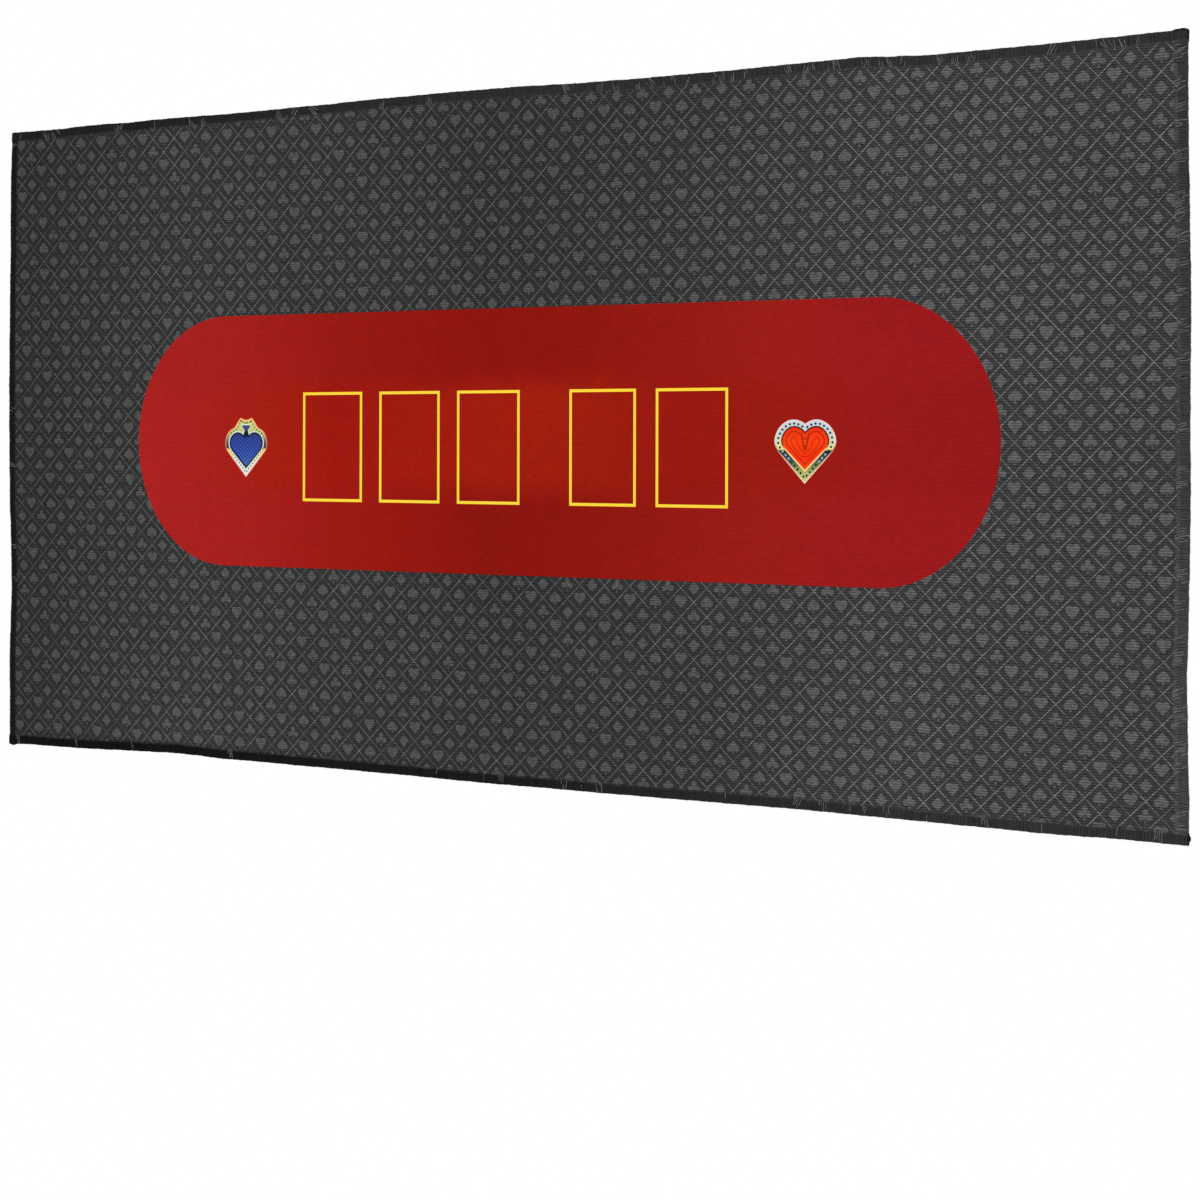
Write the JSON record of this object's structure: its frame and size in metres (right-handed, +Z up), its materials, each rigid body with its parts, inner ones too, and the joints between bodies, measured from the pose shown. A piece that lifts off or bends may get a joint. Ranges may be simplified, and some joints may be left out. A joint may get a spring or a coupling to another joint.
{
  "type": "casino table mat",
  "caption": "Two-sided roll-up casino table mat: blackjack layout on one face, poker layout on the other, overlocked edges, and an end that rolls up over the blackjack face.",
  "frame": {"origin": "centre of the mat in plan, at the height of the surface it lies on", "axes": "+X along the length towards the end that rolls up, +Y towards the dealer's side of the blackjack layout, +Z up out of the blackjack face; the poker face lies down, towards -Z"},
  "size_m": [1.2192, 0.6096, 0.0031],
  "materials": {
    "suited_cloth": "matt woven print, charcoal lattice of card suits with a red racetrack",
    "felt_cloth": "matt brushed felt, dark grey with light grey layout lines",
    "overlock_thread": "dense black overlock stitching"
  },
  "bodies": {
    "sheet": {"poker_cloth": "suited_cloth", "blackjack_cloth": "felt_cloth", "overlock_front": "overlock_thread", "overlock_back": "overlock_thread", "overlock_left": "overlock_thread"},
    "strip_01": {"poker_cloth_01": "suited_cloth", "blackjack_cloth_01": "felt_cloth", "overlock_front_01": "overlock_thread", "overlock_back_01": "overlock_thread"},
    "strip_02": {"poker_cloth_02": "suited_cloth", "blackjack_cloth_02": "felt_cloth", "overlock_front_02": "overlock_thread", "overlock_back_02": "overlock_thread"},
    "strip_03": {"poker_cloth_03": "suited_cloth", "blackjack_cloth_03": "felt_cloth", "overlock_front_03": "overlock_thread", "overlock_back_03": "overlock_thread"},
    "strip_04": {"poker_cloth_04": "suited_cloth", "blackjack_cloth_04": "felt_cloth", "overlock_front_04": "overlock_thread", "overlock_back_04": "overlock_thread"},
    "strip_05": {"poker_cloth_05": "suited_cloth", "blackjack_cloth_05": "felt_cloth", "overlock_front_05": "overlock_thread", "overlock_back_05": "overlock_thread"},
    "strip_06": {"poker_cloth_06": "suited_cloth", "blackjack_cloth_06": "felt_cloth", "overlock_front_06": "overlock_thread", "overlock_back_06": "overlock_thread"},
    "strip_07": {"poker_cloth_07": "suited_cloth", "blackjack_cloth_07": "felt_cloth", "overlock_front_07": "overlock_thread", "overlock_back_07": "overlock_thread"},
    "strip_08": {"poker_cloth_08": "suited_cloth", "blackjack_cloth_08": "felt_cloth", "overlock_front_08": "overlock_thread", "overlock_back_08": "overlock_thread"},
    "strip_09": {"poker_cloth_09": "suited_cloth", "blackjack_cloth_09": "felt_cloth", "overlock_front_09": "overlock_thread", "overlock_back_09": "overlock_thread"},
    "strip_10": {"poker_cloth_10": "suited_cloth", "blackjack_cloth_10": "felt_cloth", "overlock_front_10": "overlock_thread", "overlock_back_10": "overlock_thread"},
    "strip_11": {"poker_cloth_11": "suited_cloth", "blackjack_cloth_11": "felt_cloth", "overlock_front_11": "overlock_thread", "overlock_back_11": "overlock_thread"},
    "strip_12": {"poker_cloth_12": "suited_cloth", "blackjack_cloth_12": "felt_cloth", "overlock_front_12": "overlock_thread", "overlock_back_12": "overlock_thread"},
    "strip_13": {"poker_cloth_13": "suited_cloth", "blackjack_cloth_13": "felt_cloth", "overlock_front_13": "overlock_thread", "overlock_back_13": "overlock_thread", "overlock_right": "overlock_thread"}
  },
  "joints": [
    {"name": "roll", "type": "hinge", "parent": "sheet", "child": "strip_01", "pos_m": [0.2846, 0, 0.00155], "axis": [0, -1, 0], "range_deg": [0, 25]},
    {"name": "roll_02", "type": "hinge", "parent": "strip_01", "child": "strip_02", "pos_m": [0.3096, 0, 0.00155], "axis": [0, -1, 0], "range_deg": [0, 25.5]},
    {"name": "roll_03", "type": "hinge", "parent": "strip_02", "child": "strip_03", "pos_m": [0.3346, 0, 0.00155], "axis": [0, -1, 0], "range_deg": [0, 26]},
    {"name": "roll_04", "type": "hinge", "parent": "strip_03", "child": "strip_04", "pos_m": [0.3596, 0, 0.00155], "axis": [0, -1, 0], "range_deg": [0, 26.5]},
    {"name": "roll_05", "type": "hinge", "parent": "strip_04", "child": "strip_05", "pos_m": [0.3846, 0, 0.00155], "axis": [0, -1, 0], "range_deg": [0, 27]},
    {"name": "roll_06", "type": "hinge", "parent": "strip_05", "child": "strip_06", "pos_m": [0.4096, 0, 0.00155], "axis": [0, -1, 0], "range_deg": [0, 27.5]},
    {"name": "roll_07", "type": "hinge", "parent": "strip_06", "child": "strip_07", "pos_m": [0.4346, 0, 0.00155], "axis": [0, -1, 0], "range_deg": [0, 28]},
    {"name": "roll_08", "type": "hinge", "parent": "strip_07", "child": "strip_08", "pos_m": [0.4596, 0, 0.00155], "axis": [0, -1, 0], "range_deg": [0, 28.5]},
    {"name": "roll_09", "type": "hinge", "parent": "strip_08", "child": "strip_09", "pos_m": [0.4846, 0, 0.00155], "axis": [0, -1, 0], "range_deg": [0, 29]},
    {"name": "roll_10", "type": "hinge", "parent": "strip_09", "child": "strip_10", "pos_m": [0.5096, 0, 0.00155], "axis": [0, -1, 0], "range_deg": [0, 29.5]},
    {"name": "roll_11", "type": "hinge", "parent": "strip_10", "child": "strip_11", "pos_m": [0.5346, 0, 0.00155], "axis": [0, -1, 0], "range_deg": [0, 30]},
    {"name": "roll_12", "type": "hinge", "parent": "strip_11", "child": "strip_12", "pos_m": [0.5596, 0, 0.00155], "axis": [0, -1, 0], "range_deg": [0, 30.5]},
    {"name": "roll_13", "type": "hinge", "parent": "strip_12", "child": "strip_13", "pos_m": [0.5846, 0, 0.00155], "axis": [0, -1, 0], "range_deg": [0, 31]}
  ],
  "couplings": [
    {"joint": "roll_02", "follows": "roll", "ratio": 1.02},
    {"joint": "roll_03", "follows": "roll", "ratio": 1.04},
    {"joint": "roll_04", "follows": "roll", "ratio": 1.06},
    {"joint": "roll_05", "follows": "roll", "ratio": 1.08},
    {"joint": "roll_06", "follows": "roll", "ratio": 1.1},
    {"joint": "roll_07", "follows": "roll", "ratio": 1.12},
    {"joint": "roll_08", "follows": "roll", "ratio": 1.14},
    {"joint": "roll_09", "follows": "roll", "ratio": 1.16},
    {"joint": "roll_10", "follows": "roll", "ratio": 1.18},
    {"joint": "roll_11", "follows": "roll", "ratio": 1.2},
    {"joint": "roll_12", "follows": "roll", "ratio": 1.22},
    {"joint": "roll_13", "follows": "roll", "ratio": 1.24}
  ]
}
